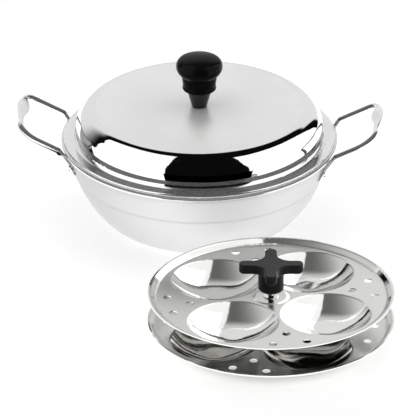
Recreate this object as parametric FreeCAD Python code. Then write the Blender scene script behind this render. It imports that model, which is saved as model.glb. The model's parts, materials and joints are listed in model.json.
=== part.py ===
import FreeCAD, Part
import math
import os
from FreeCAD import Placement, Rotation, Vector

# Lengths are millimetres and angles are degrees.
# The pot stands on the origin with its axis on Z, its handles along X.
# The plate stand is beside it, towards -Y.

# Clearances
SEAT_GAP = 0.2          # loose piece over the face it rests on
LOOSE_GAP = 0.4         # radial, plates and sleeve on the rod
THREAD_GAP = 0.06       # radial, threads and shanks in their bores
CUT_RUN = 4.0           # how far a cutting shape runs past what it cuts
FULL_TURN = 360
SQUARE = 90

# Pot bowl
POT_SHEET = 0.9
POT_HEIGHT = 80.0       # base to the top of the rolled rim
POT_RIM_RADIUS = 120.0  # outside of the rolled rim
POT_CURL_RADIUS = 1.7   # section of the rolled rim
POT_CURL_TURN = 240
POT_BASE_INSET = 65.0   # outside of the rim in to the flat of the base
POT_CORNER_TURN = 45    # the corner arc ends at this slope
POT_WALL_SLOPE = 72     # slope of the wall above the ledge
POT_LEDGE_DROP = 28.0   # rim top down to the ledge
POT_LEDGE_TURN = 30
POT_LEDGE_BEND = 2.4    # both bends of the ledge, on the inside face

# Wire handles
WIRE_RADIUS = 2.6
HANDLE_HALF_SPAN = 37.0     # middle of the handle to a leg
HANDLE_OVERHANG = 33.6      # rolled rim out to the middle of the grip
HANDLE_SLOPE = 26.5         # the legs rise outwards
HANDLE_DROP = 11.5          # rim top down to where the wire leaves the wall
HANDLE_RIM_GAP = 3.2        # rolled rim to the wire, at the bend beside it
HANDLE_BEND_RISE = 2.0      # rim top up to that bend
HANDLE_KNEE_RADIUS = 6.0
HANDLE_BEND_RADIUS = 5.0
HANDLE_FAR_CORNER_RADIUS = 9.0
HANDLE_NEAR_CORNER_RADIUS = 18.0
GRIP_HALF_WIDTH = 5.0
GRIP_HALF_THICKNESS = 1.5
GRIP_FLAT_SHARES = (0.16, 0.5)  # of the grip length from its far end, where it is pressed flat
GRIP_ROUND_SHARE = 0.85     # where it is round wire again
FOOT_LENGTH = 9.5
FOOT_HALF_WIDTH = 4.6
FOOT_HALF_THICKNESS = 1.4
FOOT_SINK = 0.2             # pressed-in depth that the wall trims off
FOOT_RAMP_SHARE = 0.4       # of the foot, from round wire to flat
RIVET_RADIUS = 1.6
RIVET_HEAD_RADIUS = 2.8
RIVET_HEAD_HEIGHT = 1.3
RIVET_DROP_SHARE = 0.6      # of the foot length, from the knee to the rivet

# Lid
LID_SHEET = 0.6
LID_HEM_RADIUS = 0.9        # section of the rolled edge
LID_HEM_TURN = 200
LID_EDGE_INSET = 2.4        # lid edge in from the outside of the pot rim
LID_FLANGE_WIDTH = 10.4     # widest part of the dome to the lid edge
LID_SHOULDER_RISE = 9.1     # flange to the middle of the shoulder
LID_SHOULDER_RADIUS = 18.0
LID_CROWN_RISE = 1.5        # shoulder to the flat pad under the knob
LID_UNDERCUT = 10           # the wall runs inwards below the shoulder
LID_ROOT_RADIUS = 3.5       # wall to flange
LID_PAD_RADIUS = 12.0

# Lid knob
SCREW_RADIUS = 2.5
SCREW_HEAD_RADIUS = 4.6
SCREW_HEAD_HEIGHT = 2.6
SCREW_SLOT_WIDTH = 1.2
SCREW_SLOT_DEPTH = 1.3
SCREW_REACH = 9.5           # thread inside the insert
SCREW_WASHER_RADIUS = 7.5
SCREW_WASHER_THICKNESS = 1.0
FERRULE_HEIGHT = 16.6
FERRULE_FOOT_RADIUS = 6.6
FERRULE_TOP_RADIUS = 11.2
FERRULE_WALL = 1.2
FERRULE_TOP_THICKNESS = 1.6
INSERT_RADIUS = 4.5
INSERT_LENGTH = 12.0
INSERT_RELIEF = 2.0         # knob bore past the end of the insert
LID_KNOB_RADIUS = 20.3
LID_KNOB_WIDEST_RISE = 21.9
LID_KNOB_SHOULDER_RADIUS = 6.6
LID_KNOB_CROWN_RISE = 1.6   # shoulder to the top
LID_KNOB_NECK_RADIUS = 15.6
LID_KNOB_NECK_RISE = 13.4
LID_KNOB_WAIST_RADIUS = 14.1
LID_KNOB_WAIST_RISE = 3.4
LID_KNOB_COLLAR_RADIUS = 14.6
LID_KNOB_COLLAR_HEIGHT = 2.4
LID_KNOB_COLLAR_ROUND = 0.8

# Plates
PLATE_SHEET = 0.8
PLATE_SPACING = 25.8        # lower plate to upper plate
CUPS = 4
CUP_LIP_RADIUS = 39.5       # where the cup leaves the flat of the plate
CUP_LIP_ROUND = 2.2
CUP_DEPTH = 13.0
CUP_FLAT_RADIUS = 7.0
CUP_WEB = 1.5               # flat between neighbouring cups
PLATE_LAND = 2.6            # flat between a cup and the raised rim
RIM_FLARE = 6.4             # width of the raised rim
RIM_LIP_WIDTH = 2.0         # level strip at its edge
RIM_RISE = 4.0
RIM_ROOT_RADIUS = 3.0
RIM_LIP_RADIUS = 1.6
BOSS_RADIUS = 15.7          # raised middle of the plate
BOSS_SLOPE_WIDTH = 2.0
BOSS_RISE = 0.8
BOSS_ROUND = 1.6
STEAM_HOLE_RADIUS = 3.5
STEAM_SINGLE_INSET = 28.4   # edge of the flat in to the single hole
STEAM_PAIR_INSET = 10.3     # edge of the flat in to the pair
STEAM_PAIR_ANGLE = 9.5      # each of the pair from the single hole
UPPER_PLATE_TURN = 13.7
LOWER_PLATE_TURN = -9.0

# Rod and its fittings
ROD_RADIUS = 2.5
ROD_TAIL = 1.5              # rod below the foot nut
ROD_TIP_ROUND = 0.6
NUT_FLATS = 8.0
NUT_HEIGHT = 4.0
WASHER_RADIUS = 6.5
WASHER_THICKNESS = 1.0
SPACER_WALL = 1.9

# Star knob
KNOB_GAP = 4.5              # top washer to the knob
STAR_REACH = 27.4
STAR_ARM_HALF_WIDTH = 5.1
STAR_TIP_ROUND = 4.6
STAR_WEB_ROUND = 12.0       # blend between neighbouring arms
STAR_THICKNESS = 9.0
STAR_TOP_ROUND = 1.0
STAR_UNDER_ROUND = 2.6
STAR_TURN = 3.2
STEM_RADIUS = 11.0
STEM_HEIGHT = 17.0
STEM_FOOT_ROUND = 3.4
STAR_BUSH_RADIUS = 4.5
STAR_BUSH_LENGTH = 14.0
STAR_BORE_RELIEF = 3.0      # knob bore past the end of the bush
ROD_ENGAGEMENT = 12.0       # thread inside the bush

# Where the stand is
STAND_GAP = 8.4             # plate edge to pot rim, seen from above
STAND_BEARING = -71.5       # from the pot axis, measured from +X

# Sizes that follow from those above
POT_BASE_RADIUS = POT_RIM_RADIUS - POT_BASE_INSET
POT_CURL_AXIS_RADIUS = POT_RIM_RADIUS - POT_CURL_RADIUS
POT_CURL_AXIS_HEIGHT = POT_HEIGHT - POT_CURL_RADIUS
POT_LEDGE_HEIGHT = POT_HEIGHT - POT_LEDGE_DROP
HANDLE_REACH = POT_RIM_RADIUS + HANDLE_OVERHANG
HANDLE_BEND_AXIS_RADIUS = POT_RIM_RADIUS + HANDLE_RIM_GAP + WIRE_RADIUS
LID_EDGE_RADIUS = POT_RIM_RADIUS - LID_EDGE_INSET
LID_FLANGE_HEIGHT = POT_HEIGHT + SEAT_GAP + 2 * LID_HEM_RADIUS
LID_PAD_HEIGHT = LID_FLANGE_HEIGHT + LID_SHOULDER_RISE + LID_SHOULDER_RADIUS + LID_CROWN_RISE
LID_WALL_RADIUS = LID_EDGE_RADIUS - LID_FLANGE_WIDTH
SCREW_HOLE_RADIUS = SCREW_RADIUS + THREAD_GAP
LID_KNOB_BASE = LID_PAD_HEIGHT + FERRULE_HEIGHT
LID_KNOB_HEIGHT = LID_KNOB_WIDEST_RISE + LID_KNOB_SHOULDER_RADIUS + LID_KNOB_CROWN_RISE
CUP_CIRCLE_RADIUS = (CUP_LIP_RADIUS + CUP_WEB / 2) / math.sin(math.pi / CUPS)
PLATE_FLOOR_RADIUS = CUP_CIRCLE_RADIUS + CUP_LIP_RADIUS + PLATE_LAND
PLATE_RADIUS = PLATE_FLOOR_RADIUS + RIM_FLARE
STEAM_SINGLE_RADIUS = PLATE_FLOOR_RADIUS - STEAM_SINGLE_INSET
STEAM_PAIR_RADIUS = PLATE_FLOOR_RADIUS - STEAM_PAIR_INSET
ROD_HOLE_RADIUS = ROD_RADIUS + LOOSE_GAP
LOWER_FLOOR = CUP_DEPTH + PLATE_SHEET
UPPER_FLOOR = LOWER_FLOOR + PLATE_SPACING
LOWER_BOSS_TOP = LOWER_FLOOR + BOSS_RISE
UPPER_BOSS_TOP = UPPER_FLOOR + BOSS_RISE
FOOT_WASHER_TOP = LOWER_BOSS_TOP - PLATE_SHEET
FOOT_NUT_TOP = FOOT_WASHER_TOP - WASHER_THICKNESS
SEAT_WASHER_TOP = UPPER_BOSS_TOP - PLATE_SHEET
SPACER_TOP = SEAT_WASHER_TOP - WASHER_THICKNESS
STAR_BASE = UPPER_BOSS_TOP + WASHER_THICKNESS + KNOB_GAP
STAND_DISTANCE = POT_RIM_RADIUS + STAND_GAP + PLATE_RADIUS

ORIGIN = Vector(0, 0, 0)
UP = Vector(0, 0, 1)


# Helpers for outlines in the plane of X and Z

def at(radius, height):
    return Vector(radius, 0, height)


def around(centre, radius, degrees):
    angle = math.radians(degrees)
    return centre + at(radius * math.cos(angle), radius * math.sin(angle))


def sweep_arc(centre, radius, first, last):
    return [around(centre, radius, angle) for angle in (first, (first + last) / 2, last)]


def edge(points):
    if len(points) == 2:
        return Part.LineSegment(*points).toShape()
    return Part.Arc(*points).toShape()


def wire(steps):
    return Part.Wire([edge(points) for points in steps])


def rounded_path(points, radii):
    """Lines and arcs through the points, with each inner corner rounded."""
    steps = []
    start = points[0]
    for before, corner, after, radius in zip(points, points[1:], points[2:], radii):
        back = (before - corner).normalize()
        ahead = (after - corner).normalize()
        half = back.getAngle(ahead) / 2
        trim = radius / math.tan(half)
        middle = corner + (back + ahead).normalize() * (radius / math.sin(half) - radius)
        first, last = corner + back * trim, corner + ahead * trim
        steps += [[start, first], [first, middle, last]]
        start = last
    steps.append([start, points[-1]])
    return steps


def moved_right(points, distance):
    """A line or an arc moved sideways, to the right of the way it runs."""
    if len(points) == 2:
        run = (points[1] - points[0]).normalize()
        return [point + at(run.z, -run.x) * distance for point in points]
    centre = edge(points).Curve.Center
    first, second = points[1] - points[0], points[2] - points[1]
    outward = 1 if first.x * second.z > first.z * second.x else -1
    return [point + (point - centre).normalize() * distance * outward for point in points]


def revolved(steps):
    """The solid that a closed outline makes about Z."""
    ordered = Part.sortEdges([edge(points) for points in steps])[0]
    return Part.Face(Part.Wire(ordered)).revolve(ORIGIN, UP, FULL_TURN)


def sheet_of_revolution(steps, thickness):
    """Sheet metal: the given face and one a thickness to the right of it."""
    far = [moved_right(points, thickness) for points in steps]
    ends = [[steps[0][0], far[0][0]], [steps[-1][-1], far[-1][-1]]]
    return revolved(steps + far + ends)


def turned(points):
    """A turned piece from the corners of its section."""
    return revolved([list(pair) for pair in zip(points, points[1:] + points[:1])])


def ring(inner, outer, base, height):
    top = base + height
    return turned([at(inner, base), at(outer, base), at(outer, top), at(inner, top)])


def rod(radius, base, height):
    return Part.makeCylinder(radius, height, at(0, base))


def crown_radius(reach, drop, shoulder):
    """Radius of a dome that ends tangent to a shoulder arc.

    The shoulder's middle is this far out from where the dome is level, and this far down."""
    return (reach ** 2 + drop ** 2 - shoulder ** 2) / (2 * (drop - shoulder))


def crown_arcs(level, shoulder_middle, shoulder, last):
    """A dome from its level point, then the shoulder as far as the given angle."""
    reach, drop = shoulder_middle.x - level.x, level.z - shoulder_middle.z
    radius = crown_radius(reach, drop, shoulder)
    meet = SQUARE - math.degrees(math.asin(reach / (radius - shoulder)))
    dome = sweep_arc(level - at(0, radius), radius, SQUARE, meet)
    return [dome, sweep_arc(shoulder_middle, shoulder, meet, last)]


# Pot

def slope(degrees):
    angle = math.radians(degrees)
    return at(math.cos(angle), math.sin(angle))


def pot_wall_steps():
    """Inside face of the bowl from its middle to the start of the rolled rim."""
    run = slope(POT_WALL_SLOPE)
    curl_middle = at(POT_CURL_AXIS_RADIUS, POT_CURL_AXIS_HEIGHT)
    rim_start = around(curl_middle, POT_CURL_RADIUS, SQUARE + POT_WALL_SLOPE)
    ledge_top = rim_start - run * ((rim_start.z - POT_LEDGE_HEIGHT) / run.z)

    # The ledge steps inwards through two equal bends
    into = math.radians(POT_WALL_SLOPE - POT_LEDGE_TURN)
    across = math.radians(POT_WALL_SLOPE)
    half = at(math.sin(across) - math.sin(into), math.cos(into) - math.cos(across)) * POT_LEDGE_BEND
    upper_middle = ledge_top + at(-run.z, run.x) * POT_LEDGE_BEND
    ledge_centre = ledge_top - half
    ledge_low = ledge_centre - half
    lower_middle = ledge_low + at(run.z, -run.x) * POT_LEDGE_BEND
    turns = (POT_WALL_SLOPE + SQUARE, POT_WALL_SLOPE + SQUARE - POT_LEDGE_TURN)
    lower_bend = sweep_arc(lower_middle, POT_LEDGE_BEND, *turns)
    upper_bend = sweep_arc(upper_middle, POT_LEDGE_BEND,
                           POT_WALL_SLOPE - POT_LEDGE_TURN - SQUARE, POT_WALL_SLOPE - SQUARE)

    # Two arcs join the flat base to the ledge
    flat_end = at(POT_BASE_RADIUS, POT_SHEET)
    corner = math.radians(POT_CORNER_TURN)
    span = ledge_low - flat_end
    a, b = math.sin(corner), math.sin(across) - math.sin(corner)
    c, d = 1 - math.cos(corner), math.cos(corner) - math.cos(across)
    scale = a * d - b * c
    corner_radius = (span.x * d - b * span.z) / scale
    side_radius = (a * span.z - span.x * c) / scale
    corner_middle = flat_end + at(0, corner_radius)
    corner_arc = sweep_arc(corner_middle, corner_radius, -SQUARE, POT_CORNER_TURN - SQUARE)
    side_middle = corner_arc[2] + (corner_middle - corner_arc[2]) * (side_radius / corner_radius)
    side_arc = sweep_arc(side_middle, side_radius,
                         POT_CORNER_TURN - SQUARE, POT_WALL_SLOPE - SQUARE)
    return [[at(0, POT_SHEET), flat_end], corner_arc, side_arc, lower_bend, upper_bend,
            [ledge_top, rim_start]]


def make_pot_bowl():
    curl_middle = at(POT_CURL_AXIS_RADIUS, POT_CURL_AXIS_HEIGHT)
    start = SQUARE + POT_WALL_SLOPE
    curl = sweep_arc(curl_middle, POT_CURL_RADIUS, start, start - POT_CURL_TURN)
    return sheet_of_revolution(pot_wall_steps() + [curl], POT_SHEET)


def make_pot_block():
    """The bowl as a filled block up to its rolled rim, for trimming what lies on the wall."""
    outside = [moved_right(points, POT_SHEET) for points in pot_wall_steps()]
    top = outside[-1][-1]
    return revolved(outside + [[top, at(0, top.z)], [at(0, top.z), ORIGIN]])


def wall_point(height):
    """Outside face of the wall above the ledge."""
    top = moved_right(pot_wall_steps()[-1], POT_SHEET)[1]
    return at(top.x - (top.z - height) / math.tan(math.radians(POT_WALL_SLOPE)), height)


# Handles

def oval(centre, wide, thick, half_width, half_thickness):
    outline = Part.Ellipse(ORIGIN, half_width, half_thickness).toShape()
    frame = Placement(centre, Rotation(wide, thick, wide.cross(thick), "XYZ"))
    return Part.Wire([outline.transformed(frame.toMatrix())])


def handle_bearing():
    return math.degrees(math.asin(HANDLE_HALF_SPAN / HANDLE_BEND_AXIS_RADIUS))


def foot_frame():
    """Foot end, knee at the wall, bend outside the rim, and the direction across the foot."""
    normal = at(math.sin(math.radians(POT_WALL_SLOPE)), -math.cos(math.radians(POT_WALL_SLOPE)))
    knee = wall_point(POT_HEIGHT - HANDLE_DROP) + normal * WIRE_RADIUS
    tip = wall_point(knee.z - FOOT_LENGTH) + normal * (FOOT_HALF_THICKNESS - FOOT_SINK)
    bend = at(HANDLE_BEND_AXIS_RADIUS, POT_HEIGHT + HANDLE_BEND_RISE)
    bearing = Rotation(UP, handle_bearing())
    return [bearing.multVec(vector) for vector in (tip, knee, bend, Vector(0, 1, 0))]


def make_leg(corner_radius):
    """Round wire and flattened foot of a leg on the far side, and where its corner meets the grip."""
    tip, knee, bend, across = foot_frame()
    rise = (HANDLE_REACH - bend.x) * math.tan(math.radians(HANDLE_SLOPE))
    corner = Vector(HANDLE_REACH, HANDLE_HALF_SPAN, bend.z + rise)
    other_corner = Vector(corner.x, -corner.y, corner.z)
    steps = rounded_path([tip, knee, bend, corner, other_corner],
                         [HANDLE_KNEE_RADIUS, HANDLE_BEND_RADIUS, corner_radius])
    foot_line, leg_steps = steps[0], steps[1:6]
    down = (tip - knee).normalize()
    out = across.cross(down)
    section = oval(foot_line[1], across, out, WIRE_RADIUS, WIRE_RADIUS)
    leg = wire(leg_steps).makePipeShell([section], True, False)
    run = foot_line[0] - foot_line[1]
    foot = Part.makeLoft([section]
                         + [oval(foot_line[1] + run * share, across, out,
                                 FOOT_HALF_WIDTH, FOOT_HALF_THICKNESS)
                            for share in (FOOT_RAMP_SHARE, 1)], True, False)
    return [leg, foot], leg_steps[-1][2]


def make_grip(far_end, near_end):
    """The wire between the corners, pressed flat towards its far end."""
    along = slope(HANDLE_SLOPE)
    thick = along.cross(Vector(0, 1, 0))
    flat_size = (GRIP_HALF_WIDTH, GRIP_HALF_THICKNESS)
    round_size = (WIRE_RADIUS, WIRE_RADIUS)
    sizes = [(0, round_size)]
    sizes += [(share, flat_size) for share in GRIP_FLAT_SHARES]
    sizes += [(GRIP_ROUND_SHARE, round_size), (1, round_size)]
    sections = [oval(far_end + (near_end - far_end) * share, along, thick, *size) for share, size in sizes]
    return Part.makeLoft(sections, True, False)


def make_handle(block):
    """The handle on +X, whose far corner is the tighter one."""
    far_leg, far_end = make_leg(HANDLE_FAR_CORNER_RADIUS)
    near_leg, near_end = make_leg(HANDLE_NEAR_CORNER_RADIUS)
    near_end.y = -near_end.y
    near_leg = [shape.mirror(ORIGIN, Vector(0, 1, 0)) for shape in near_leg]
    return make_grip(far_end, near_end).fuse(far_leg + near_leg).removeSplitter().cut(block)


def rivet_placements():
    tip, knee, _, _ = foot_frame()
    wall = wall_point(knee.z + (tip.z - knee.z) * RIVET_DROP_SHARE)
    places = []
    for side in (1, -1):
        turn = Rotation(UP, side * handle_bearing())
        direction = turn.multVec(at(math.sin(math.radians(POT_WALL_SLOPE)),
                                    -math.cos(math.radians(POT_WALL_SLOPE))))
        places.append(Placement(turn.multVec(wall), Rotation(UP, direction)))
    return places


def make_rivet_holes():
    depth = 2 * (POT_SHEET + FOOT_HALF_THICKNESS + CUT_RUN)
    hole = Part.makeCylinder(RIVET_RADIUS + THREAD_GAP, depth, at(0, -depth / 2))
    return [hole.transformed(place.toMatrix()) for place in rivet_placements()]


def make_rivets(bowl, handle):
    """A shank with a domed head outside and a flat one inside, trimmed to what they clamp."""
    foot_face = 2 * FOOT_HALF_THICKNESS
    head_top = foot_face + RIVET_HEAD_HEIGHT
    inner_face = -POT_SHEET - RIVET_HEAD_HEIGHT
    shank = rod(RIVET_RADIUS, inner_face, head_top - inner_face)
    dome_middle = at(RIVET_RADIUS, head_top - RIVET_HEAD_HEIGHT)
    outline = [at(0, 0), at(RIVET_HEAD_RADIUS, 0), at(RIVET_HEAD_RADIUS, dome_middle.z)]
    corner = at(RIVET_RADIUS, head_top)
    head = turned(outline + [corner, at(0, head_top)])
    tail = rod(RIVET_HEAD_RADIUS, inner_face, -inner_face)
    rivet = shank.fuse([head, tail]).removeSplitter()
    placed = [rivet.transformed(place.toMatrix()) for place in rivet_placements()]
    return [shape.cut([bowl, handle]) for shape in placed]


# Lid

def make_lid_shell():
    pad = at(LID_PAD_RADIUS, LID_PAD_HEIGHT)
    shoulder_middle = at(LID_WALL_RADIUS - LID_SHOULDER_RADIUS,
                         LID_FLANGE_HEIGHT + LID_SHOULDER_RISE)
    dome = crown_arcs(pad, shoulder_middle, LID_SHOULDER_RADIUS, -LID_UNDERCUT)
    wall_top = dome[1][2]
    drop = wall_top.z - LID_FLANGE_HEIGHT
    wall_foot = wall_top - at(drop * math.tan(math.radians(LID_UNDERCUT)), drop)
    hem_middle = at(LID_EDGE_RADIUS - LID_HEM_RADIUS, LID_FLANGE_HEIGHT - LID_HEM_RADIUS)
    hem = sweep_arc(hem_middle, LID_HEM_RADIUS, SQUARE, SQUARE - LID_HEM_TURN)
    flange = rounded_path([wall_top, wall_foot, hem[0]], [LID_ROOT_RADIUS])
    start = [at(SCREW_HOLE_RADIUS, LID_PAD_HEIGHT), pad]
    return sheet_of_revolution([start] + dome + flange + [hem], LID_SHEET)


def make_lid_knob_ferrule():
    top = LID_PAD_HEIGHT + FERRULE_HEIGHT
    ceiling = top - FERRULE_TOP_THICKNESS
    return turned([at(SCREW_HOLE_RADIUS, top), at(FERRULE_TOP_RADIUS, top),
                   at(FERRULE_FOOT_RADIUS, LID_PAD_HEIGHT),
                   at(FERRULE_FOOT_RADIUS - FERRULE_WALL, LID_PAD_HEIGHT),
                   at(FERRULE_FOOT_RADIUS - FERRULE_WALL, ceiling),
                   at(SCREW_HOLE_RADIUS, ceiling)])


def make_lid_knob():
    base = at(0, LID_KNOB_BASE)
    bore = INSERT_RADIUS + THREAD_GAP
    bore_top = INSERT_LENGTH + INSERT_RELIEF
    widest = at(LID_KNOB_RADIUS, LID_KNOB_WIDEST_RISE)
    neck = at(LID_KNOB_NECK_RADIUS, LID_KNOB_NECK_RISE)
    inset, drop = widest.x - neck.x, widest.z - neck.z
    belly_radius = (inset ** 2 + drop ** 2) / (2 * inset)
    belly_middle = at(widest.x - belly_radius, widest.z)
    belly_angle = -math.degrees(math.atan2(drop, neck.x - belly_middle.x))
    shoulder_middle = at(LID_KNOB_RADIUS - LID_KNOB_SHOULDER_RADIUS, LID_KNOB_WIDEST_RISE)
    top = at(0, LID_KNOB_HEIGHT)
    crown = crown_arcs(top, shoulder_middle, LID_KNOB_SHOULDER_RADIUS, 0)
    belly = sweep_arc(belly_middle, belly_radius, 0, belly_angle)
    collar = [belly[2], at(LID_KNOB_WAIST_RADIUS, LID_KNOB_WAIST_RISE),
              at(LID_KNOB_COLLAR_RADIUS, LID_KNOB_COLLAR_HEIGHT), at(LID_KNOB_COLLAR_RADIUS, 0),
              at(bore, 0)]
    radii = [LID_KNOB_COLLAR_ROUND / 2, LID_KNOB_COLLAR_ROUND / 2, LID_KNOB_COLLAR_ROUND]
    inside = [[at(bore, 0), at(bore, bore_top)], [at(bore, bore_top), at(0, bore_top)],
              [at(0, bore_top), top]]
    knob = revolved(crown + [belly] + rounded_path(collar, radii) + inside)
    return knob.translated(base)


def make_lid_knob_insert():
    return ring(SCREW_HOLE_RADIUS, INSERT_RADIUS, LID_KNOB_BASE, INSERT_LENGTH)


def make_lid_knob_washer():
    base = LID_PAD_HEIGHT - LID_SHEET - SCREW_WASHER_THICKNESS
    return ring(SCREW_HOLE_RADIUS, SCREW_WASHER_RADIUS, base, SCREW_WASHER_THICKNESS)


def make_lid_knob_screw():
    head_top = LID_PAD_HEIGHT - LID_SHEET - SCREW_WASHER_THICKNESS
    head_base = head_top - SCREW_HEAD_HEIGHT
    tip = LID_KNOB_BASE + SCREW_REACH
    shank = rod(SCREW_RADIUS, head_base, tip - head_base)
    head = turned([at(0, head_base), at(SCREW_RADIUS, head_base),
                   at(SCREW_HEAD_RADIUS, (head_base + head_top) / 2),
                   at(SCREW_HEAD_RADIUS, head_top), at(0, head_top)])
    slot_length = 2 * (SCREW_HEAD_RADIUS + CUT_RUN)
    slot = Part.makeBox(slot_length, SCREW_SLOT_WIDTH, SCREW_SLOT_DEPTH + CUT_RUN,
                        Vector(-slot_length / 2, -SCREW_SLOT_WIDTH / 2, head_base - CUT_RUN))
    return shank.fuse(head).removeSplitter().cut(slot)


# Plates, made with the top of the flat at height zero

def make_cup():
    reach = CUP_LIP_RADIUS - CUP_FLAT_RADIUS
    side = (reach ** 2 + CUP_DEPTH ** 2 - 2 * CUP_DEPTH * CUP_LIP_ROUND) / (2 * CUP_DEPTH)
    side_middle = at(CUP_FLAT_RADIUS, side - CUP_DEPTH)
    lip_middle = at(CUP_LIP_RADIUS, -CUP_LIP_ROUND)
    meet = math.degrees(math.asin(reach / (side + CUP_LIP_ROUND)))
    bottom = [at(0, -CUP_DEPTH), at(CUP_FLAT_RADIUS, -CUP_DEPTH)]
    bowl = sweep_arc(side_middle, side, -SQUARE, meet - SQUARE)
    lip = sweep_arc(lip_middle, CUP_LIP_ROUND, meet + SQUARE, SQUARE)
    return sheet_of_revolution([bottom, bowl, lip], PLATE_SHEET)


def make_plate():
    corners = [at(ROD_HOLE_RADIUS, BOSS_RISE), at(BOSS_RADIUS - BOSS_SLOPE_WIDTH, BOSS_RISE),
               at(BOSS_RADIUS, 0), at(PLATE_FLOOR_RADIUS, 0),
               at(PLATE_RADIUS - RIM_LIP_WIDTH, RIM_RISE), at(PLATE_RADIUS, RIM_RISE)]
    radii = [BOSS_ROUND, BOSS_ROUND, RIM_ROOT_RADIUS, RIM_LIP_RADIUS]
    disc = sheet_of_revolution(rounded_path(corners, radii), PLATE_SHEET)
    deep = 2 * (PLATE_SHEET + BOSS_RISE + CUT_RUN)
    cutter = Part.makeCylinder(CUP_LIP_RADIUS, deep, at(0, -deep / 2))
    hole = Part.makeCylinder(STEAM_HOLE_RADIUS, deep, at(0, -deep / 2))
    cup = make_cup()
    cups, cutters = [], []
    for index in range(CUPS):
        between = Rotation(UP, FULL_TURN * index / CUPS)
        middle = Rotation(UP, FULL_TURN * (index + 1 / 2) / CUPS)
        place = middle.multVec(at(CUP_CIRCLE_RADIUS, 0))
        cups.append(cup.translated(place))
        cutters.append(cutter.translated(place))
        cutters.append(hole.translated(between.multVec(at(STEAM_SINGLE_RADIUS, 0))))
        for side in (STEAM_PAIR_ANGLE, -STEAM_PAIR_ANGLE):
            turn = between * Rotation(UP, side)
            cutters.append(hole.translated(turn.multVec(at(STEAM_PAIR_RADIUS, 0))))
    return disc.cut(cutters).fuse(cups).removeSplitter()


def placed_plate(plate, turn, floor):
    return plate.transformed(Placement(at(0, floor), Rotation(UP, turn)).toMatrix())


# Rod and its fittings

def make_stand_rod():
    base = FOOT_NUT_TOP - NUT_HEIGHT - ROD_TAIL
    shaft = rod(ROD_RADIUS, base, STAR_BASE + ROD_ENGAGEMENT - base)
    ends = [rim for rim in shaft.Edges if rim.Curve.TypeId == "Part::GeomCircle"]
    return shaft.makeChamfer(ROD_TIP_ROUND, ends)


def make_foot_nut():
    corner = NUT_FLATS / 2 / math.cos(math.pi / 6)
    points = [around(ORIGIN, corner, FULL_TURN * index / 6) for index in range(7)]
    flat = Part.makePolygon([Vector(point.x, point.z, 0) for point in points])
    block = Part.Face(flat).extrude(at(0, NUT_HEIGHT))
    bore = rod(ROD_RADIUS + THREAD_GAP, -CUT_RUN, NUT_HEIGHT + 2 * CUT_RUN)
    return block.cut(bore).translated(at(0, FOOT_NUT_TOP - NUT_HEIGHT))


def make_washer(base):
    return ring(ROD_HOLE_RADIUS, WASHER_RADIUS, base, WASHER_THICKNESS)


def make_plate_spacer():
    return ring(ROD_HOLE_RADIUS, ROD_HOLE_RADIUS + SPACER_WALL,
                LOWER_BOSS_TOP, SPACER_TOP - LOWER_BOSS_TOP)


# Star knob

def star_outline():
    reach, half = STAR_REACH, STAR_ARM_HALF_WIDTH
    quarter = [Vector(reach, half, 0), Vector(half, half, 0), Vector(half, reach, 0)]
    quarter_radii = [STAR_TIP_ROUND, STAR_WEB_ROUND, STAR_TIP_ROUND]
    corners = [Rotation(UP, SQUARE * index).multVec(point) for index in range(4) for point in quarter]
    start = Vector(reach, 0, 0)
    return wire(rounded_path([start] + corners + [start], quarter_radii * 4))


def make_star_knob():
    star = Part.Face(star_outline()).extrude(at(0, STAR_THICKNESS)).translated(at(0, STEM_HEIGHT))
    middle = STEM_HEIGHT + STAR_THICKNESS / 2
    star = star.makeFillet(STAR_TOP_ROUND, [rim for rim in star.Edges if rim.BoundBox.ZMin > middle])
    star = star.makeFillet(STAR_UNDER_ROUND, [rim for rim in star.Edges if rim.BoundBox.ZMax < middle])
    stem = rod(STEM_RADIUS, 0, STEM_HEIGHT + STAR_THICKNESS / 2)
    foot = [rim for rim in stem.Edges if rim.BoundBox.ZMax < STEM_FOOT_ROUND]
    stem = stem.makeFillet(STEM_FOOT_ROUND, foot)
    bore = rod(STAR_BUSH_RADIUS + THREAD_GAP, -CUT_RUN, CUT_RUN + STAR_BUSH_LENGTH + STAR_BORE_RELIEF)
    knob = star.fuse(stem).removeSplitter().cut(bore)
    return knob.transformed(Placement(at(0, STAR_BASE), Rotation(UP, STAR_TURN)).toMatrix())


def make_star_knob_bush():
    return ring(ROD_RADIUS + THREAD_GAP, STAR_BUSH_RADIUS, STAR_BASE, STAR_BUSH_LENGTH)


# Everything in place

def make_pot_group():
    block = make_pot_block()
    holes = make_rivet_holes()
    half_turn = Placement(ORIGIN, Rotation(UP, FULL_TURN / 2)).toMatrix()
    far_holes = [shape.transformed(half_turn) for shape in holes]
    bowl = make_pot_bowl().cut(holes + far_holes)
    handle = make_handle(block).cut(holes)
    rivets = Part.makeCompound(make_rivets(bowl, handle))
    return {
        "pot_bowl": bowl,
        "right_handle": handle,
        "left_handle": handle.mirror(ORIGIN, Vector(1, 0, 0)),
        "right_handle_rivets": rivets,
        "left_handle_rivets": rivets.transformed(half_turn),
    }


def make_lid_group():
    return {
        "lid_shell": make_lid_shell(),
        "lid_knob_ferrule": make_lid_knob_ferrule(),
        "lid_knob": make_lid_knob(),
        "lid_knob_insert": make_lid_knob_insert(),
        "lid_knob_screw": make_lid_knob_screw(),
        "lid_knob_washer": make_lid_knob_washer(),
    }


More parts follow.
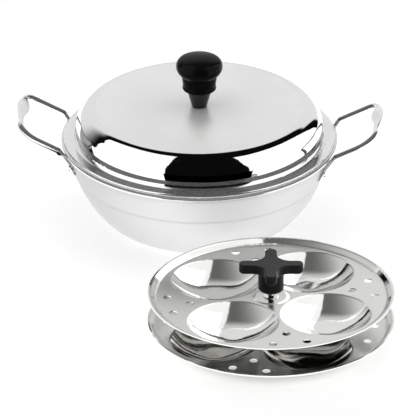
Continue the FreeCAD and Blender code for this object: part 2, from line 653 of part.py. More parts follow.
def make_stand_group():
    plate = make_plate()
    pieces = {
        "stand_rod": make_stand_rod(),
        "stand_foot_nut": make_foot_nut(),
        "stand_foot_washer": make_washer(FOOT_NUT_TOP),
        "lower_plate": placed_plate(plate, LOWER_PLATE_TURN, LOWER_FLOOR),
        "plate_spacer": make_plate_spacer(),
        "plate_seat_washer": make_washer(SPACER_TOP),
        "upper_plate": placed_plate(plate, UPPER_PLATE_TURN, UPPER_FLOOR),
        "plate_top_washer": make_washer(UPPER_BOSS_TOP),
        "star_knob": make_star_knob(),
        "star_knob_bush": make_star_knob_bush(),
    }
    place = Rotation(UP, STAND_BEARING).multVec(at(STAND_DISTANCE, 0))
    return {name: shape.translated(place) for name, shape in pieces.items()}


os.makedirs("parts", exist_ok=True)
for group in (make_pot_group(), make_lid_group(), make_stand_group()):
    for name, shape in group.items():
        shape.exportStep(os.path.join("parts", name + ".step"))
print("ok")
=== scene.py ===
import bpy
import json
import math
from mathutils import Matrix, Vector


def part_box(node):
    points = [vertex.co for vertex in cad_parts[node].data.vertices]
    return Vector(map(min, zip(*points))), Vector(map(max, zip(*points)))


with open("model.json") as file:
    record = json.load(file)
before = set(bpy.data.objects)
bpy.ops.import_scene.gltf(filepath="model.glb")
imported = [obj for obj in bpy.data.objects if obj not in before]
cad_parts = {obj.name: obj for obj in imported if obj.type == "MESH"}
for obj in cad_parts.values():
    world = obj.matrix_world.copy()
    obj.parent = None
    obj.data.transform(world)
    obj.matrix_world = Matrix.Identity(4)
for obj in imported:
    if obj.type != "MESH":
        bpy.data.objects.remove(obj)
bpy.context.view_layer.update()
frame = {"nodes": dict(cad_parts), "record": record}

# Lengths are metres and angles are degrees, unless a comment says otherwise.
# An azimuth is measured from straight ahead of the camera, towards the right.

# Camera
VIEW_TURN = 3.29                # from the front, which is -Y, towards +X
VIEW_ELEVATION = 26.6
VIEW_DISTANCE = 12.0
VIEW_LIMIT = 120.0              # what is further away isn't seen
VIEW_LENS = 1194.1              # millimetres
SENSOR = 36.0                   # millimetres
AIM_RIGHT = 0.00752             # pot's base to the middle of the picture
AIM_UP = 0.01012

# Floor
FLOOR_HALF = 3.0
FLOOR_SINK = 0.0002             # keeps the floor just under what stands on it
FLOOR_COLOUR = (0.65, 0.65, 0.65, 1)
FLOOR_ROUGHNESS = 0.9
FLOOR_GLOW = 0.62
FLOOR_GLOW_IN_STEEL = 1.25
FLOOR_FADE = (0.5, 1.7)         # distances over which it passes into the white behind it
STAND_SHADE = 0.4               # what is left of the floor's glow under the plates
STAND_SHADE_EDGE = (0.070, 0.096)

# Broad light from above
FILL_HEIGHT = 2.4
FILL_SIZE = 3.0
FILL_POWER = 44.0

# Studio behind the floor, with a light back wall
STUDIO_DARK = 0.004
WALL_BRIGHTNESS = 0.93
WALL_LEFT = (-70, -38)          # azimuths over which it fades out on the left
WALL_LEFT_LEVEL = 10.0          # above this elevation the left fade leans inwards
WALL_LEFT_LEAN = 0.025          # degrees, for each squared degree above that level
WALL_RIGHT = (35.5, 32.5)       # azimuths over which it ends on the right
WALL_TOP = 41.0                 # elevation
WALL_TOP_SLOPE = -0.25          # lower towards the right
WALL_TOP_SOFTNESS = 1.5
DEEP_SHARE = 0.72               # what is left of floor and wall after two reflections

# Softboxes beside the pot, lighting the lid alone
# corners as azimuth and elevation, seen from the middle of the lid
SOFTBOXES = {
    "left_softbox": ((-41, 45), (-32, 54), (-27, 64), (-19, 69), (-64, 78), (-129, 69), (-144, 51),
                     (-149, 12), (-149, -20), (-70, -20), (-74, 8), (-67, 33)),
    "right_softbox": ((45, 43), (50, 57), (59, 68), (63, 74), (95, 72), (126, 57), (134, 39),
                      (135, 1), (134, -20), (38, -20), (44, 6), (47, 20)),
}
SOFTBOX_OFFSET = 7.0            # sideways from the pot's axis
SOFTBOX_BRIGHTNESS = 1.4
SOFTBOX_DEEP_SHARE = 0.1        # what is left of a softbox after two reflections
LID_MIDDLE = Vector((0, 0, 0.1))

# Soft light from the front that fills the bowl alone and isn't mirrored
BOWL_FILL_AZIMUTH = 170
BOWL_FILL_ELEVATION = 38
BOWL_FILL_DISTANCE = 3.0
BOWL_FILL_SIZE = 1.5
BOWL_FILL_BRIGHTNESS = 15.8

# Lamps as place, direction they face, width, height and brightness as a mirror shows it
DOWN = (0, 0, -1)
# Lamps for the upper plate, the star knob and what is between them
STAND_LAMPS = {
    "stand_side": ((1.6, 6.05, 3.05), (-1, 0, 0), 11.5, 6.0, 1.2),
    "stand_bright_ceiling": ((3.40, 1.3, 3.0), DOWN, 6.0, 13.0, 1.2),
}
# Low panels around both plates, for views from the sides and the back
PLATE_PANELS = {
    "plate_left_panel": ((-2.8, -0.22, 0.65), (1, 0, 0), 4.0, 1.2, 0.8),
    "plate_right_panel": ((2.9, -0.90, 0.65), (-1, 0, 0), 2.4, 1.2, 0.8),
    "plate_front_panel": ((0.07, -3.1, 0.65), (0, 1, 0), 5.0, 1.2, 0.8),
}
# Dim ceiling that lights the handles alone
HANDLE_LAMPS = {"handle_ceiling": ((0, 0, 2.5), DOWN, 12.0, 12.0, 0.16)}
# Dim ceiling left of the bright one, lighter towards the left and the back
CEILING_HEIGHT = 3.0
CEILING_RIGHT = 0.40
CEILING_WIDTH = 6.0
CEILING_FRONT = -3.2
CEILING_DEPTH = 6.5
CEILING_DIM = 0.15
CEILING_LIGHT = 0.75
CEILING_LEFT_SHARES = (0.95, 0.35)
CEILING_BACK_SHARES = (0.62, 0.90)

# Dark cards at the height of the rim, seen only in reflections and only from above
# corners as azimuth and distance from the pot's axis
CARD_HEIGHT = 0.078
DARK_CARDS = {
    "front_card": ((-161.7, 0.1225), (-148.3, 2.5), (132.0, 2.5), (151.7, 0.1225)),
    "left_card": ((-91.3, 0.123), (-45.3, 1.05), (-70.8, 1.06), (-111.9, 0.123)),
}
CARD_GLOW = {"front_card": 0.0, "left_card": 0.42}
CARD_FADE = (-106, -88)         # azimuths over which a card's glow comes in

# Pieces of the knobs that the steel beside them doesn't mirror
UNMIRRORED = ("lid_knob", "star_knob", "star_knob_bush")

# Marks in the finishes
POT_AXIS = Vector((0, 0, 0))    # a point on it
SPIN_RINGS = 1500.0             # per metre
SPIN_WAVER = 2.0
SPIN_BAND_SHARE = 0.08          # how coarse the broad bands are beside the rings
HAIRLINE_TURNS = (15, 78, 139)
HAIRLINE_SQUEEZE = (1.0, 0.03, 1.0)     # draws the noise out into lines
HAIRLINE_TONES = (0.64, 0.82)   # tones of the noise that count as a line
MIDDLE_TONE = 0.5               # of any noise
COLOUR_TONES = (0.35, 0.7)      # tones of the patches over which a colour changes
ROUGHNESS_TONES = (0.3, 0.7)    # tones of a pattern over which the roughness changes

# Patches and speckle for each finish, per metre
BOWL_PATCHES = 14.0
LID_PATCHES = 16.0
PLATE_PATCHES = 22.0
WIRE_PATCHES = 60.0
FITTING_PATCHES = 90.0
BRASS_PATCHES = 120.0
PHENOLIC_PATCHES = 45.0
PLASTIC_PATCHES = 50.0
METAL_SPECKLE = 2400.0
PHENOLIC_SPECKLE = 3500.0
PLASTIC_SPECKLE = 2600.0

# Bowl: pairs for metal are wall and rim, edges are where the rolled rim starts
BOWL_STEEL = (0.71, 0.71, 0.71, 1)
DULL_BOWL_STEEL = (0.68, 0.68, 0.68, 1)
# Painted shade: a darker line of colour along the ledge
LEDGE_SHADE_STEEL = (0.62, 0.62, 0.62, 1)
LEDGE_SHADE_HEIGHT = 0.0510          # height of the painted shade along the ledge
LEDGE_SHADE_HALF = 0.0025
RIM_RADIUS_EDGE = (0.1160, 0.1168)
RIM_HEIGHT_EDGE = (0.0735, 0.0745)
BOWL_METAL = (0.2, 0.8)
BOWL_ROUGHNESS = (0.52, 0.58)
BOWL_GRAIN = 0.14
RIM_ROUGHNESS_SHARE = 0.3
RING_DEPTH = 0.00001

# Lid: pairs for metal and roughness are satin and polish
STEEL = (0.79, 0.79, 0.785, 1)
SMUDGED_STEEL = (0.74, 0.74, 0.735, 1)
SATIN_EDGE = (0.0885, 0.0908)   # radius over which the crown passes into polish
FLANGE_EDGE = (0.0842, 0.0830)  # height over which the wall passes into the flange
FLANGE_SATIN = 0.3              # how much of the flange's polish is taken off
LID_METAL = (0.60, 1.0)
LID_ROUGHNESS = (0.36, 0.035)
LID_GRAIN = 0.006

# Plates: shares are heights up a plate where the finish changes
PLATE_STEEL = (0.79, 0.786, 0.768, 1)
SMUDGED_PLATE_STEEL = (0.74, 0.736, 0.718, 1)
SATIN_STEEL = (0.66, 0.657, 0.642, 1)
CUP_EDGE_SHARES = (0.735, 0.765)
RIM_FOOT_SHARES = (0.86, 0.80)
PLATE_LINES = 1400.0            # per metre
PLATE_ROUGHNESS = (0.05, 0.09)
PLATE_LINE_ROUGHNESS = 0.09
PLATE_FLAT_ROUGHNESS = 0.24

# Wire, fittings and brass
WIRE_STEEL = (0.77, 0.77, 0.765, 1)
DULL_WIRE_STEEL = (0.69, 0.69, 0.685, 1)
WIRE_LINES = 2200.0             # per metre
WIRE_ROUGHNESS = (0.20, 0.30)
FITTING_ROUGHNESS = (0.06, 0.16)
DARK_PLATING = (0.015, 0.015, 0.015, 1)
PLATING_ROUGHNESS = (0.10, 0.16)
PLATING_COAT_ROUGHNESS = 0.05
BRASS = (0.72, 0.50, 0.22, 1)
DULL_BRASS = (0.60, 0.42, 0.20, 1)
BRASS_ROUGHNESS = (0.2, 0.34)

# Black knobs
PHENOLIC_BLACK = (0.002, 0.002, 0.002, 1)
PALER_PHENOLIC_BLACK = (0.004, 0.004, 0.004, 1)
PHENOLIC_ROUGHNESS = (0.17, 0.25)
PHENOLIC_SPECULAR = 0.055
PHENOLIC_GRAIN_DEPTH = 0.00001
PLASTIC_BLACK = (0.006, 0.006, 0.006, 1)
PALER_PLASTIC_BLACK = (0.010, 0.010, 0.010, 1)
PLASTIC_ROUGHNESS = (0.42, 0.55)
PLASTIC_SPECULAR = 0.20
PLASTIC_GRAIN_DEPTH = 0.00002

WHITE = (1, 1, 1, 1)
BLACK = (0, 0, 0, 1)


# Directions

def look(azimuth, elevation):
    """A direction by its azimuth and its elevation."""
    a, e = math.radians(azimuth - VIEW_TURN), math.radians(elevation)
    return Vector((math.sin(a) * math.cos(e), math.cos(a) * math.cos(e), math.sin(e)))


def view_axes():
    """Right, up and backwards as the camera sees them."""
    a, e = math.radians(VIEW_TURN), math.radians(VIEW_ELEVATION)
    back = Vector((math.sin(a) * math.cos(e), -math.cos(a) * math.cos(e), math.sin(e)))
    right = Vector((math.cos(a), math.sin(a), 0))
    return right, back.cross(right), back


def stand_foot():
    """Where the axis of the plate stand meets the floor."""
    low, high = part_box("stand_rod")
    return [(a + b) / 2 for a, b in zip(low[:2], high[:2])] + [0]


# Short ways to build node trees

def feed(tree, value, socket):
    """Links an input to the value where that is a socket, and sets it otherwise."""
    if isinstance(value, bpy.types.NodeSocket):
        tree.links.new(value, socket)
    else:
        socket.default_value = value


def add(tree, kind, inputs=None, **settings):
    """A new node with its settings and inputs."""
    made = tree.nodes.new(kind)
    for name, value in settings.items():
        setattr(made, name, value)
    for key, value in (inputs or {}).items():
        feed(tree, value, made.inputs[key])
    return made


def calc(tree, operation, *values, clamp=False):
    inputs = dict(enumerate(values))
    return add(tree, "ShaderNodeMath", inputs, operation=operation, use_clamp=clamp).outputs[0]


def remap(tree, value, low, high, to_low=0.0, to_high=1.0, smooth=False):
    inputs = {"Value": value, "From Min": low, "From Max": high, "To Min": to_low, "To Max": to_high}
    kind = "SMOOTHSTEP" if smooth else "LINEAR"
    return add(tree, "ShaderNodeMapRange", inputs, interpolation_type=kind).outputs["Result"]


def between(tree, mask, at_none, at_full):
    """A value that goes from one number to another as the mask goes from 0 to 1."""
    return remap(tree, mask, 0.0, 1.0, at_none, at_full)


def vector_calc(tree, operation, *values):
    """Vector arithmetic, which gives a number for lengths, distances and dot products."""
    made = add(tree, "ShaderNodeVectorMath", dict(enumerate(values)), operation=operation)
    as_number = operation in ("LENGTH", "DISTANCE", "DOT_PRODUCT")
    return made.outputs["Value" if as_number else "Vector"]


def split(tree, vector):
    return add(tree, "ShaderNodeSeparateXYZ", {0: vector}).outputs


def join(tree, x, y, z=0.0):
    return add(tree, "ShaderNodeCombineXYZ", {"X": x, "Y": y, "Z": z}).outputs[0]


def object_place(tree):
    return add(tree, "ShaderNodeTexCoord").outputs["Object"]


def object_height(tree):
    return split(tree, object_place(tree))["Z"]


def azimuth_of(tree, vector):
    across, ahead = [vector_calc(tree, "DOT_PRODUCT", vector, look(angle, 0)) for angle in (90, 0)]
    return calc(tree, "DEGREES", calc(tree, "ARCTAN2", across, ahead))


def noise(tree, vector, scale, detail=2.0, roughness=0.5):
    inputs = {"Vector": vector, "Scale": scale, "Detail": detail, "Roughness": roughness}
    return add(tree, "ShaderNodeTexNoise", inputs).outputs["Fac"]


def mix_colours(tree, mask, first, second):
    made = add(tree, "ShaderNodeMix", data_type="RGBA")
    for key, value in (("Factor_Float", mask), ("A_Color", first), ("B_Color", second)):
        feed(tree, value, next(s for s in made.inputs if s.identifier == key))
    return next(s for s in made.outputs if s.identifier == "Result_Color")


def bump(tree, height, distance):
    return add(tree, "ShaderNodeBump", {"Height": height, "Distance": distance, "Strength": 1.0}).outputs[0]


def link(tree, value, shader, socket):
    tree.links.new(value, shader.inputs[socket])


# Effects that several finishes share

def new_group(name, inputs, outputs):
    """A shader node group with inputs as name, kind and default, and with named number outputs."""
    group = bpy.data.node_groups.new(name, "ShaderNodeTree")
    for label, kind, default in inputs:
        socket = group.interface.new_socket(label, in_out="INPUT", socket_type=kind)
        socket.default_value = default
    for label in outputs:
        group.interface.new_socket(label, in_out="OUTPUT", socket_type="NodeSocketFloat")
    source = group.nodes.new("NodeGroupInput")
    sink = group.nodes.new("NodeGroupOutput")
    return group, source.outputs, sink.inputs


def place(tree, group, **values):
    """Places a group in a material, with its own values for the inputs named."""
    inputs = {key.replace("_", " "): value for key, value in values.items()}
    return add(tree, "ShaderNodeGroup", inputs, node_tree=group).outputs


def build_turned_marks():
    """Rings and broad bands left by spinning and polishing about an upright axis."""
    group, given, out = new_group(
        "turned_marks",
        [("Axis", "NodeSocketVector", POT_AXIS),
         ("Rings per metre", "NodeSocketFloat", SPIN_RINGS),
         ("Waver", "NodeSocketFloat", SPIN_WAVER)],
        ["Radius", "Rings", "Bands"])
    off_axis = split(group, vector_calc(group, "SUBTRACT", object_place(group), given["Axis"]))
    flat = join(group, off_axis["X"], off_axis["Y"])
    radius = vector_calc(group, "LENGTH", flat)
    around = split(group, vector_calc(group, "NORMALIZE", flat))
    turn = [calc(group, "MULTIPLY", around[axis], given["Waver"]) for axis in ("X", "Y")]
    fine = calc(group, "MULTIPLY", calc(group, "ADD", radius, off_axis["Z"]), given["Rings per metre"])
    broad = calc(group, "MULTIPLY", fine, SPIN_BAND_SHARE)
    group.links.new(radius, out["Radius"])
    rings = noise(group, join(group, fine, *turn), scale=1.0, detail=3.0, roughness=0.6)
    bands = noise(group, join(group, broad, *turn), scale=1.0)
    group.links.new(rings, out["Rings"])
    group.links.new(bands, out["Bands"])
    return group


def build_hairlines():
    """Fine straight scratches from handling, in three directions."""
    group, given, out = new_group(
        "hairlines", [("Lines per metre", "NodeSocketFloat", PLATE_LINES)], ["Lines"])
    highest = 0.0
    for turn in HAIRLINE_TURNS:
        turned = {"Vector": object_place(group), "Axis": (0, 0, 1), "Angle": math.radians(turn)}
        spun = add(group, "ShaderNodeVectorRotate", turned).outputs[0]
        squeezed = vector_calc(group, "MULTIPLY", spun, HAIRLINE_SQUEEZE)
        layer = noise(group, squeezed, given["Lines per metre"], detail=1.0)
        highest = calc(group, "MAXIMUM", highest, layer)
    group.links.new(remap(group, highest, *HAIRLINE_TONES), out["Lines"])
    return group


def build_cloudiness():
    """Broad soft patches, as of wiping or handling, and a fine speckle."""
    group, given, out = new_group(
        "cloudiness",
        [("Patches per metre", "NodeSocketFloat", BOWL_PATCHES),
         ("Speckle per metre", "NodeSocketFloat", METAL_SPECKLE)],
        ["Patches", "Speckle"])
    where = object_place(group)
    patches = noise(group, where, given["Patches per metre"], detail=3.0)
    speckle = noise(group, where, given["Speckle per metre"])
    group.links.new(patches, out["Patches"])
    group.links.new(speckle, out["Speckle"])
    return group


TURNED_MARKS = build_turned_marks()
HAIRLINES = build_hairlines()
CLOUDINESS = build_cloudiness()


# Materials

def new_material(name):
    made = bpy.data.materials.new(name)
    made.use_nodes = True
    tree = made.node_tree
    shader = tree.nodes["Principled BSDF"]
    return made, tree, shader


def patchy_colour(tree, cloud, clean, dull):
    """A colour that goes from clean to dull in broad patches."""
    return mix_colours(tree, remap(tree, cloud["Patches"], *COLOUR_TONES), clean, dull)


def ring_grain(tree, marks, amount):
    """Small ups and downs of the roughness from ring to ring, about none."""
    return calc(tree, "MULTIPLY", calc(tree, "SUBTRACT", marks["Rings"], MIDDLE_TONE), amount)


def bowl_steel():
    """Satin spun steel, with a polished rolled rim and a painted shade line along the ledge."""
    made, tree, shader = new_material("bowl_steel")
    marks = place(tree, TURNED_MARKS, Axis=POT_AXIS, Rings_per_metre=SPIN_RINGS, Waver=SPIN_WAVER)
    cloud = place(tree, CLOUDINESS, Patches_per_metre=BOWL_PATCHES)
    height = object_height(tree)
    # painted shade: the colour darkens in a band about the ledge
    from_ledge_shade = calc(tree, "ABSOLUTE", calc(tree, "SUBTRACT", height, LEDGE_SHADE_HEIGHT))
    painted_ledge_shade = remap(tree, from_ledge_shade, LEDGE_SHADE_HALF, 0.0, smooth=True)
    wall = patchy_colour(tree, cloud, BOWL_STEEL, DULL_BOWL_STEEL)
    link(tree, mix_colours(tree, painted_ledge_shade, wall, LEDGE_SHADE_STEEL), shader, "Base Color")
    outside = remap(tree, marks["Radius"], *RIM_RADIUS_EDGE)
    rim = calc(tree, "MULTIPLY", outside, remap(tree, height, *RIM_HEIGHT_EDGE))
    link(tree, between(tree, rim, *BOWL_METAL), shader, "Metallic")
    bands = remap(tree, marks["Bands"], *ROUGHNESS_TONES, *BOWL_ROUGHNESS)
    satin = calc(tree, "ADD", ring_grain(tree, marks, BOWL_GRAIN), bands)
    share = between(tree, rim, 1.0, RIM_ROUGHNESS_SHARE)
    link(tree, calc(tree, "MULTIPLY", satin, share), shader, "Roughness")
    link(tree, bump(tree, marks["Rings"], RING_DEPTH), shader, "Normal")
    return made


def lid_steel():
    """Satin crown that passes into a mirror-polished wall, and a flange with less polish."""
    made, tree, shader = new_material("lid_steel")
    marks = place(tree, TURNED_MARKS, Axis=POT_AXIS, Rings_per_metre=SPIN_RINGS, Waver=SPIN_WAVER)
    cloud = place(tree, CLOUDINESS, Patches_per_metre=LID_PATCHES)
    past_crown = remap(tree, marks["Radius"], *SATIN_EDGE, smooth=True)
    flange = remap(tree, object_height(tree), *FLANGE_EDGE, smooth=True)
    polished = calc(tree, "SUBTRACT", past_crown, calc(tree, "MULTIPLY", flange, FLANGE_SATIN))
    link(tree, patchy_colour(tree, cloud, STEEL, SMUDGED_STEEL), shader, "Base Color")
    link(tree, between(tree, polished, *LID_METAL), shader, "Metallic")
    smooth = between(tree, polished, *LID_ROUGHNESS)
    grain = ring_grain(tree, marks, LID_GRAIN)
    link(tree, calc(tree, "ADD", smooth, grain, clamp=True), shader, "Roughness")
    return made


def plate_steel():
    """Pressed sheet with hairlines, satin on the flat and bright in the cups and on the rim."""
    made, tree, shader = new_material("plate_steel")
    lines = place(tree, HAIRLINES, Lines_per_metre=PLATE_LINES)
    cloud = place(tree, CLOUDINESS, Patches_per_metre=PLATE_PATCHES)
    up_plate = split(tree, add(tree, "ShaderNodeTexCoord").outputs["Generated"])["Z"]
    above_cups = remap(tree, up_plate, *CUP_EDGE_SHARES, smooth=True)
    below_rim = remap(tree, up_plate, *RIM_FOOT_SHARES, smooth=True)
    flat = calc(tree, "MULTIPLY", above_cups, below_rim)
    bright = patchy_colour(tree, cloud, PLATE_STEEL, SMUDGED_PLATE_STEEL)
    link(tree, mix_colours(tree, flat, bright, SATIN_STEEL), shader, "Base Color")
    shader.inputs["Metallic"].default_value = 1.0
    scratched = between(tree, lines["Lines"], 0.0, PLATE_LINE_ROUGHNESS)
    wiped = remap(tree, cloud["Patches"], *ROUGHNESS_TONES, *PLATE_ROUGHNESS)
    satin = calc(tree, "MULTIPLY", flat, PLATE_FLAT_ROUGHNESS)
    rough = calc(tree, "MAXIMUM", calc(tree, "ADD", scratched, wiped), satin)
    link(tree, rough, shader, "Roughness")
    return made


def wire_steel():
    """Bright drawn wire."""
    made, tree, shader = new_material("wire_steel")
    lines = place(tree, HAIRLINES, Lines_per_metre=WIRE_LINES)
    cloud = place(tree, CLOUDINESS, Patches_per_metre=WIRE_PATCHES)
    link(tree, patchy_colour(tree, cloud, WIRE_STEEL, DULL_WIRE_STEEL), shader, "Base Color")
    shader.inputs["Metallic"].default_value = 1.0
    link(tree, between(tree, lines["Lines"], *WIRE_ROUGHNESS), shader, "Roughness")
    return made


def fitting_steel():
    """Plated nuts, washers, rod and rivets."""
    made, tree, shader = new_material("fitting_steel")
    cloud = place(tree, CLOUDINESS, Patches_per_metre=FITTING_PATCHES)
    link(tree, patchy_colour(tree, cloud, STEEL, SMUDGED_STEEL), shader, "Base Color")
    shader.inputs["Metallic"].default_value = 1.0
    rough = remap(tree, cloud["Speckle"], *ROUGHNESS_TONES, *FITTING_ROUGHNESS)
    link(tree, rough, shader, "Roughness")
    return made


def dark_plating():
    """Blackened bright plating of the sleeve under the lid's knob."""
    made, tree, shader = new_material("dark_plating")
    cloud = place(tree, CLOUDINESS, Patches_per_metre=FITTING_PATCHES)
    shader.inputs["Base Color"].default_value = DARK_PLATING
    shader.inputs["Metallic"].default_value = 1.0
    shader.inputs["Coat Weight"].default_value = 1.0
    shader.inputs["Coat Roughness"].default_value = PLATING_COAT_ROUGHNESS
    rough = remap(tree, cloud["Speckle"], *ROUGHNESS_TONES, *PLATING_ROUGHNESS)
    link(tree, rough, shader, "Roughness")
    return made


def brass():
    """Turned bushes, mostly hidden."""
    made, tree, shader = new_material("brass")
    cloud = place(tree, CLOUDINESS, Patches_per_metre=BRASS_PATCHES)
    link(tree, mix_colours(tree, cloud["Patches"], BRASS, DULL_BRASS), shader, "Base Color")
    shader.inputs["Metallic"].default_value = 1.0
    rough = remap(tree, cloud["Speckle"], *ROUGHNESS_TONES, *BRASS_ROUGHNESS)
    link(tree, rough, shader, "Roughness")
    return made


def black_phenolic():
    """Moulded knob with a soft gloss."""
    made, tree, shader = new_material("black_phenolic")
    cloud = place(tree, CLOUDINESS, Patches_per_metre=PHENOLIC_PATCHES, Speckle_per_metre=PHENOLIC_SPECKLE)
    colour = mix_colours(tree, cloud["Patches"], PHENOLIC_BLACK, PALER_PHENOLIC_BLACK)
    link(tree, colour, shader, "Base Color")
    rough = remap(tree, cloud["Patches"], *ROUGHNESS_TONES, *PHENOLIC_ROUGHNESS)
    link(tree, rough, shader, "Roughness")
    shader.inputs["Specular IOR Level"].default_value = PHENOLIC_SPECULAR
    link(tree, bump(tree, cloud["Speckle"], PHENOLIC_GRAIN_DEPTH), shader, "Normal")
    return made


def black_plastic():
    """Satin moulded knob with a fine grain."""
    made, tree, shader = new_material("black_plastic")
    cloud = place(tree, CLOUDINESS, Patches_per_metre=PLASTIC_PATCHES, Speckle_per_metre=PLASTIC_SPECKLE)
    colour = mix_colours(tree, cloud["Patches"], PLASTIC_BLACK, PALER_PLASTIC_BLACK)
    link(tree, colour, shader, "Base Color")
    rough = remap(tree, cloud["Speckle"], *ROUGHNESS_TONES, *PLASTIC_ROUGHNESS)
    link(tree, rough, shader, "Roughness")
    shader.inputs["Specular IOR Level"].default_value = PLASTIC_SPECULAR
    link(tree, bump(tree, cloud["Speckle"], PLASTIC_GRAIN_DEPTH), shader, "Normal")
    return made


def dress_nodes():
    """Gives each node a finish of its own, or else the one that its slot names."""
    makers = (bowl_steel, lid_steel, plate_steel, wire_steel, fitting_steel, black_plastic, brass)
    of_slot = {maker.__name__: maker() for maker in makers}
    own = {"lid_knob": black_phenolic(), "lid_knob_ferrule": dark_plating()}
    for subpart in frame["record"]["subparts"]:
        node = subpart["node"]
        finish = own[node] if node in own else of_slot[subpart["material_slot"]]
        mesh = frame["nodes"][node].data
        mesh.materials.clear()
        mesh.materials.append(finish)


# Studio

def nodes_of(*bodies):
    """Names of the nodes that ride on the given bodies."""
    return [node for body in bodies for node in frame["record"]["behaviour"]["bodies"][body]]


def gather(name, nodes):
    """A collection of the given nodes, for a light that they alone see."""
    made = bpy.data.collections.new(name)
    for node in nodes:
        made.objects.link(frame["nodes"][node])
    return made


def deep_dimming(tree, share):
    """Dims what is seen after two reflections to the given share."""
    depth = add(tree, "ShaderNodeLightPath").outputs["Glossy Depth"]
    return remap(tree, depth, 1.0, 2.0, 1.0, share)


def make_flat(name, corners, material):
    """A flat staged sheet."""
    mesh = bpy.data.meshes.new(name)
    mesh.from_pydata(corners, [], [tuple(range(len(corners)))])
    mesh.materials.append(material)
    made = bpy.data.objects.new(name, mesh)
    bpy.context.scene.collection.objects.link(made)
    return made


def make_floor():
    """A pale floor that glows, less so under the plates and more so far out."""
    made, tree, shader = new_material("pale_floor")
    shader.inputs["Base Color"].default_value = FLOOR_COLOUR
    shader.inputs["Roughness"].default_value = FLOOR_ROUGHNESS
    shader.inputs["Specular IOR Level"].default_value = 0.0
    shader.inputs["Emission Color"].default_value = WHITE
    ray = add(tree, "ShaderNodeLightPath").outputs
    where = object_place(tree)
    glow = between(tree, ray["Is Glossy Ray"], FLOOR_GLOW, FLOOR_GLOW_IN_STEEL)
    far = remap(tree, vector_calc(tree, "LENGTH", where), *FLOOR_FADE, smooth=True)
    glow = calc(tree, "MAXIMUM", glow, calc(tree, "MULTIPLY", far, ray["Is Camera Ray"]))
    from_stand = vector_calc(tree, "DISTANCE", where, stand_foot())
    shade = remap(tree, from_stand, *STAND_SHADE_EDGE, STAND_SHADE, 1.0, smooth=True)
    glow = calc(tree, "MULTIPLY", calc(tree, "MULTIPLY", glow, deep_dimming(tree, DEEP_SHARE)), shade)
    link(tree, glow, shader, "Emission Strength")
    signs = ((-1, -1), (1, -1), (1, 1), (-1, 1))
    make_flat("floor", [(x * FLOOR_HALF, y * FLOOR_HALF, -FLOOR_SINK) for x, y in signs], made)


def make_dark_cards():
    """Dark cards that keep the lid's upright wall dark where no softbox is."""
    lift = Vector((0, 0, CARD_HEIGHT))
    for name, corners in DARK_CARDS.items():
        made, tree, shader = new_material(name)
        shader.inputs["Base Color"].default_value = BLACK
        shader.inputs["Specular IOR Level"].default_value = 0.0
        shader.inputs["Emission Color"].default_value = WHITE
        from_below = add(tree, "ShaderNodeNewGeometry").outputs["Backfacing"]
        link(tree, calc(tree, "SUBTRACT", 1.0, from_below), shader, "Alpha")
        azimuth = azimuth_of(tree, object_place(tree))
        glow = remap(tree, azimuth, *CARD_FADE, 0.0, CARD_GLOW[name], smooth=True)
        link(tree, glow, shader, "Emission Strength")
        card = make_flat(name, [look(turn, 0) * reach + lift for turn, reach in corners], made)
        card.visible_camera = False
        card.visible_diffuse = False
        card.visible_shadow = False


def make_world():
    """A light back wall in a dark studio, and plain white behind the floor."""
    world = bpy.data.worlds.new("studio")
    bpy.context.scene.world = world
    world.use_nodes = True
    tree = world.node_tree
    tree.nodes.clear()
    direction = add(tree, "ShaderNodeTexCoord").outputs["Generated"]
    azimuth = azimuth_of(tree, direction)
    elevation = calc(tree, "DEGREES", calc(tree, "ARCSINE", split(tree, direction)["Z"]))
    lower = calc(tree, "MULTIPLY", calc(tree, "MAXIMUM", azimuth, 0.0), WALL_TOP_SLOPE)
    above_top = calc(tree, "SUBTRACT", elevation, calc(tree, "ADD", lower, WALL_TOP))
    wall = remap(tree, above_top, WALL_TOP_SOFTNESS, -WALL_TOP_SOFTNESS, smooth=True)
    above_level = calc(tree, "MAXIMUM", calc(tree, "SUBTRACT", elevation, WALL_LEFT_LEVEL), 0.0)
    lean = calc(tree, "MULTIPLY", calc(tree, "MULTIPLY", above_level, above_level), WALL_LEFT_LEAN)
    leaning = calc(tree, "SUBTRACT", azimuth, lean)
    wall = calc(tree, "MULTIPLY", wall, remap(tree, leaning, *WALL_LEFT, smooth=True))
    wall = calc(tree, "MULTIPLY", wall, remap(tree, azimuth, *WALL_RIGHT, smooth=True))
    light = between(tree, wall, STUDIO_DARK, WALL_BRIGHTNESS)
    light = calc(tree, "MULTIPLY", light, deep_dimming(tree, DEEP_SHARE))
    studio = add(tree, "ShaderNodeBackground", {"Color": WHITE, "Strength": light})
    plain = add(tree, "ShaderNodeBackground", {"Color": WHITE, "Strength": 1.0})
    seen = add(tree, "ShaderNodeLightPath").outputs["Is Camera Ray"]
    both = add(tree, "ShaderNodeMixShader", {0: seen, 1: studio.outputs[0], 2: plain.outputs[0]})
    add(tree, "ShaderNodeOutputWorld", {"Surface": both.outputs[0]})


def make_fill():
    """Broad light from above that steel doesn't mirror."""
    lamp = bpy.data.lights.new("overhead_fill", "AREA")
    lamp.shape = "SQUARE"
    lamp.size = FILL_SIZE
    lamp.energy = FILL_POWER
    made = bpy.data.objects.new("overhead_fill", lamp)
    made.location.z = FILL_HEIGHT
    made.visible_glossy = False
    made.visible_camera = False
    bpy.context.scene.collection.objects.link(made)


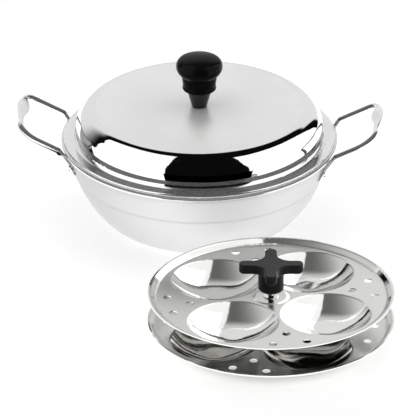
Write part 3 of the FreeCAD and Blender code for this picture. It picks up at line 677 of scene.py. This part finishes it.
def make_softboxes(nodes):
    """Flat lit panels that only the given nodes see."""
    seen_by = gather("softbox_nodes", nodes)
    made, tree, shader = new_material("softbox_cloth")
    shader.inputs["Base Color"].default_value = BLACK
    shader.inputs["Emission Color"].default_value = WHITE
    strength = calc(tree, "MULTIPLY", deep_dimming(tree, SOFTBOX_DEEP_SHARE), SOFTBOX_BRIGHTNESS)
    link(tree, strength, shader, "Emission Strength")
    for name, corners in SOFTBOXES.items():
        places = []
        for corner in corners:
            direction = look(*corner)
            reach = SOFTBOX_OFFSET / abs(direction.dot(look(90, 0)))
            places.append(LID_MIDDLE + direction * reach)
        panel = make_flat(name, places, made)
        panel.visible_camera = False
        panel.visible_shadow = False
        panel.light_linking.receiver_collection = seen_by


def make_lamps(lamps, group, nodes):
    """Area lamps that only the given nodes see."""
    seen_by = gather(group, nodes)
    for name, (spot, facing, width, height, brightness) in lamps.items():
        lamp = bpy.data.lights.new(name, "AREA")
        lamp.shape = "RECTANGLE"
        lamp.size = width
        lamp.size_y = height
        lamp.energy = brightness * math.pi * width * height
        made = bpy.data.objects.new(name, lamp)
        made.location = spot
        made.rotation_mode = "QUATERNION"
        made.rotation_quaternion = Vector(facing).to_track_quat("-Z", "Y")
        made.visible_camera = False
        made.light_linking.receiver_collection = seen_by
        bpy.context.scene.collection.objects.link(made)


def make_stand_ceiling(nodes):
    """A dim ceiling over the stand that lightens to the left and the back, seen by the given nodes."""
    middle = (CEILING_RIGHT - CEILING_WIDTH / 2, CEILING_FRONT + CEILING_DEPTH / 2, CEILING_HEIGHT)
    lamps = {"stand_dim_ceiling": (middle, DOWN, CEILING_WIDTH, CEILING_DEPTH, 1.0)}
    make_lamps(lamps, "stand_ceiling_nodes", nodes)
    lamp = bpy.data.lights["stand_dim_ceiling"]
    lamp.use_nodes = True
    tree = lamp.node_tree
    shares = split(tree, add(tree, "ShaderNodeNewGeometry").outputs["Parametric"])
    left = remap(tree, shares["X"], *CEILING_LEFT_SHARES, smooth=True)
    back = remap(tree, shares["Y"], *CEILING_BACK_SHARES, smooth=True)
    light = between(tree, calc(tree, "MAXIMUM", left, back), CEILING_DIM, CEILING_LIGHT)
    link(tree, light, tree.nodes["Emission"], "Strength")


def make_bowl_fill():
    """Soft light from the front for the bowl alone, which no other piece shades."""
    toward = look(BOWL_FILL_AZIMUTH, BOWL_FILL_ELEVATION)
    spot = toward * BOWL_FILL_DISTANCE
    lamps = {"bowl_fill": (spot, -toward, BOWL_FILL_SIZE, BOWL_FILL_SIZE, BOWL_FILL_BRIGHTNESS)}
    make_lamps(lamps, "bowl_fill_nodes", ["pot_bowl"])
    made = bpy.data.objects["bowl_fill"]
    made.visible_glossy = False
    made.light_linking.blocker_collection = made.light_linking.receiver_collection


def make_camera():
    right, up, back = view_axes()
    data = bpy.data.cameras.new("camera")
    data.sensor_width = SENSOR
    data.lens = VIEW_LENS
    data.clip_end = VIEW_LIMIT
    made = bpy.data.objects.new("camera", data)
    turn = Matrix((right, up, back)).transposed().to_4x4()
    eye = right * AIM_RIGHT + up * AIM_UP + back * VIEW_DISTANCE
    made.matrix_world = Matrix.Translation(eye) @ turn
    bpy.context.scene.collection.objects.link(made)
    bpy.context.scene.camera = made


dress_nodes()
make_floor()
make_dark_cards()
make_world()
make_fill()
make_softboxes(nodes_of("lid"))
upper_nodes = nodes_of("plate_seat", "upper_plate", "knob_bush", "star_knob")
make_lamps(STAND_LAMPS, "stand_lamp_nodes", upper_nodes)
make_stand_ceiling(upper_nodes)
make_lamps(PLATE_PANELS, "plate_panel_nodes", ["upper_plate", "lower_plate"])
make_bowl_fill()
make_lamps(HANDLE_LAMPS, "handle_nodes", ["left_handle", "right_handle"])
for node in UNMIRRORED:
    frame["nodes"][node].visible_glossy = False
make_camera()
bpy.context.scene.view_settings.view_transform = "Standard"
